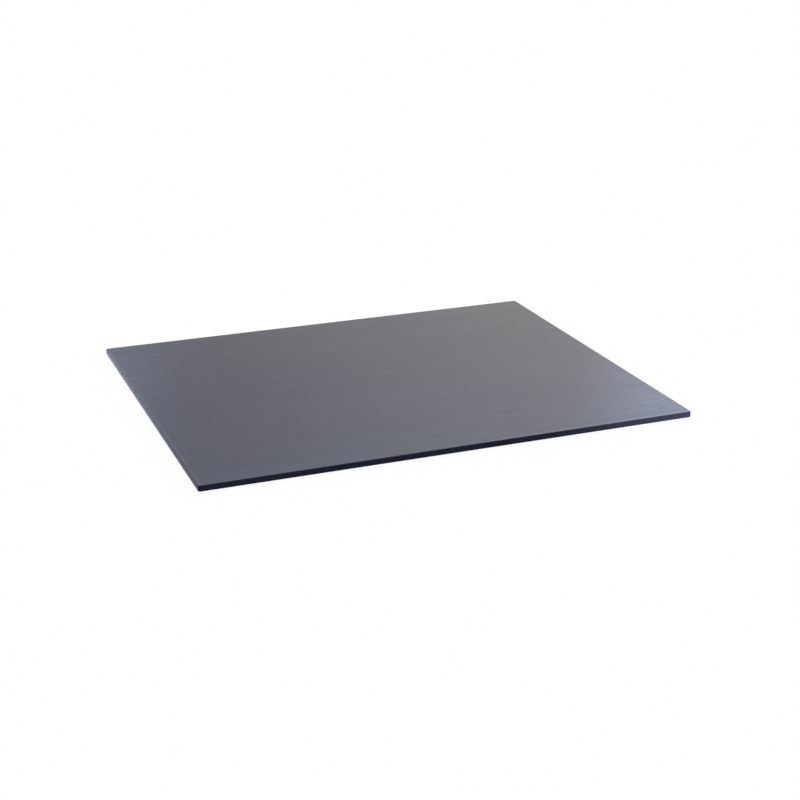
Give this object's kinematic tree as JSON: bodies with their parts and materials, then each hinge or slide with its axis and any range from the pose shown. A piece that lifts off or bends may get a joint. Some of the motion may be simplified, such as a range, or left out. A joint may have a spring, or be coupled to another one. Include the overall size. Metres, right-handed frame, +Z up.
{
  "type": "serving board",
  "caption": "Thin flat rectangular serving board of black-stained pressed wood veneer with a satin lacquer, eased edges and small non-slip feet, for presenting food.",
  "frame": {"origin": "on the table, under the middle of the board", "axes": "+X along the length of the board and the grain of its face, +Y to the rear long edge, +Z up"},
  "size_m": [0.325, 0.265, 0.0053],
  "materials": {
    "face_veneer": "black stain under satin clear lacquer, fine straight grain along the length",
    "crossband": "black-stained edge, matt",
    "core": "black-stained edge, matt",
    "back_veneer": "black stain under satin clear lacquer, fine straight grain along the length",
    "foot": "moulded, matt"
  },
  "bodies": {
    "root": {"face_leaf_front": "face_veneer", "face_leaf_rear": "face_veneer", "upper_crossband": "crossband", "core_ply": "core", "lower_crossband": "crossband", "back_leaf_front": "back_veneer", "back_leaf_rear": "back_veneer", "foot_front_left": "foot", "foot_front_right": "foot", "foot_rear_left": "foot", "foot_rear_right": "foot"}
  },
  "joints": []
}
